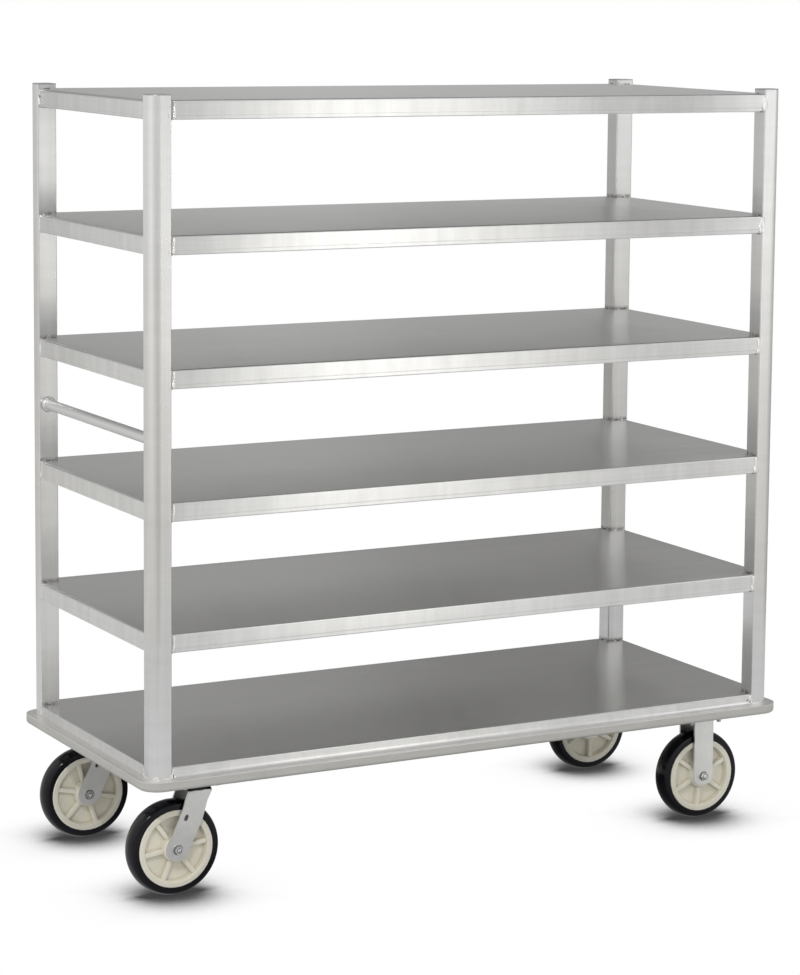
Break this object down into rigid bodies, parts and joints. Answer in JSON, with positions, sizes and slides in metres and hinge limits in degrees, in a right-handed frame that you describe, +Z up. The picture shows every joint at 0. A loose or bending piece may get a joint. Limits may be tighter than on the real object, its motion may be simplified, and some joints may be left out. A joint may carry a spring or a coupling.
{
  "type": "utility cart",
  "caption": "Aluminium utility cart: flat shelves between square corner posts, bumper round the base, end push handle, swivel and rigid casters.",
  "frame": {"origin": "on the floor, at the middle of the bounding box of the footprint", "axes": "+X along the length, away from the push handle and the swivel casters; -Y the front long side; +Z up"},
  "size_m": [1.5714, 0.7112, 1.6743],
  "materials": {
    "post_aluminium": "brushed lengthwise",
    "cap_aluminium": "satin",
    "deck_aluminium": "mill finish sheet, faint length grain",
    "rail_aluminium": "brushed lengthwise",
    "bumper_aluminium": "satin",
    "handle_aluminium": "satin",
    "channel_aluminium": "mill finish",
    "caster_steel": "satin zinc plate",
    "bolt_steel": "bright zinc plate",
    "core_plastic": "moulded cream nylon",
    "tyre_rubber": "smooth semi-gloss black rubber"
  },
  "bodies": {
    "frame": {"axles_rigid": "bolt_steel", "base_deck": "deck_aluminium", "base_end_rails": "rail_aluminium", "base_front_rail": "rail_aluminium", "base_rear_rail": "rail_aluminium", "bumper_corners": "bumper_aluminium", "bumper_ends": "bumper_aluminium", "bumper_front": "bumper_aluminium", "bumper_rear": "bumper_aluminium", "caster_bolts": "bolt_steel", "caster_channel_left": "channel_aluminium", "caster_channel_right": "channel_aluminium", "deck_stiffeners": "channel_aluminium", "handle_collars": "handle_aluminium", "post_caps": "cap_aluminium", "post_front_left": "post_aluminium", "post_front_right": "post_aluminium", "post_rear_left": "post_aluminium", "post_rear_right": "post_aluminium", "push_handle": "handle_aluminium", "rigid_fork_front": "caster_steel", "rigid_fork_rear": "caster_steel", "shelf_1_deck": "deck_aluminium", "shelf_1_end_rails": "rail_aluminium", "shelf_1_front_rail": "rail_aluminium", "shelf_1_rear_rail": "rail_aluminium", "shelf_2_deck": "deck_aluminium", "shelf_2_end_rails": "rail_aluminium", "shelf_2_front_rail": "rail_aluminium", "shelf_2_rear_rail": "rail_aluminium", "shelf_3_deck": "deck_aluminium", "shelf_3_end_rails": "rail_aluminium", "shelf_3_front_rail": "rail_aluminium", "shelf_3_rear_rail": "rail_aluminium", "shelf_4_deck": "deck_aluminium", "shelf_4_end_rails": "rail_aluminium", "shelf_4_front_rail": "rail_aluminium", "shelf_4_rear_rail": "rail_aluminium", "shelf_5_deck": "deck_aluminium", "shelf_5_end_rails": "rail_aluminium", "shelf_5_front_rail": "rail_aluminium", "shelf_5_rear_rail": "rail_aluminium", "swivel_kingpins": "bolt_steel", "swivel_plate_front": "caster_steel", "swivel_plate_rear": "caster_steel"},
    "swivel_front": {"swivel_fork_front": "caster_steel", "axle_swivel_front": "bolt_steel"},
    "swivel_rear": {"swivel_fork_rear": "caster_steel", "axle_swivel_rear": "bolt_steel"},
    "wheel_swivel_front": {"wheel_core_swivel_front": "core_plastic", "tyre_swivel_front": "tyre_rubber"},
    "wheel_swivel_rear": {"wheel_core_swivel_rear": "core_plastic", "tyre_swivel_rear": "tyre_rubber"},
    "wheel_rigid_front": {"wheel_core_rigid_front": "core_plastic", "tyre_rigid_front": "tyre_rubber"},
    "wheel_rigid_rear": {"wheel_core_rigid_rear": "core_plastic", "tyre_rigid_rear": "tyre_rubber"}
  },
  "joints": [
    {"name": "swivel_front_turn", "type": "hinge", "parent": "frame", "child": "swivel_front", "pos_m": [-0.6302, -0.2429, 0.2314], "axis": [0, 0, 1], "continuous": true},
    {"name": "swivel_rear_turn", "type": "hinge", "parent": "frame", "child": "swivel_rear", "pos_m": [-0.6302, 0.2429, 0.2314], "axis": [0, 0, 1], "continuous": true},
    {"name": "wheel_swivel_front_spin", "type": "hinge", "parent": "swivel_front", "child": "wheel_swivel_front", "pos_m": [-0.6807, -0.2429, 0.1016], "axis": [0, 1, 0], "continuous": true},
    {"name": "wheel_swivel_rear_spin", "type": "hinge", "parent": "swivel_rear", "child": "wheel_swivel_rear", "pos_m": [-0.6807, 0.2429, 0.1016], "axis": [0, 1, 0], "continuous": true},
    {"name": "wheel_rigid_front_spin", "type": "hinge", "parent": "frame", "child": "wheel_rigid_front", "pos_m": [0.6302, -0.2429, 0.1016], "axis": [0, 1, 0], "continuous": true},
    {"name": "wheel_rigid_rear_spin", "type": "hinge", "parent": "frame", "child": "wheel_rigid_rear", "pos_m": [0.6302, 0.2429, 0.1016], "axis": [0, 1, 0], "continuous": true}
  ]
}
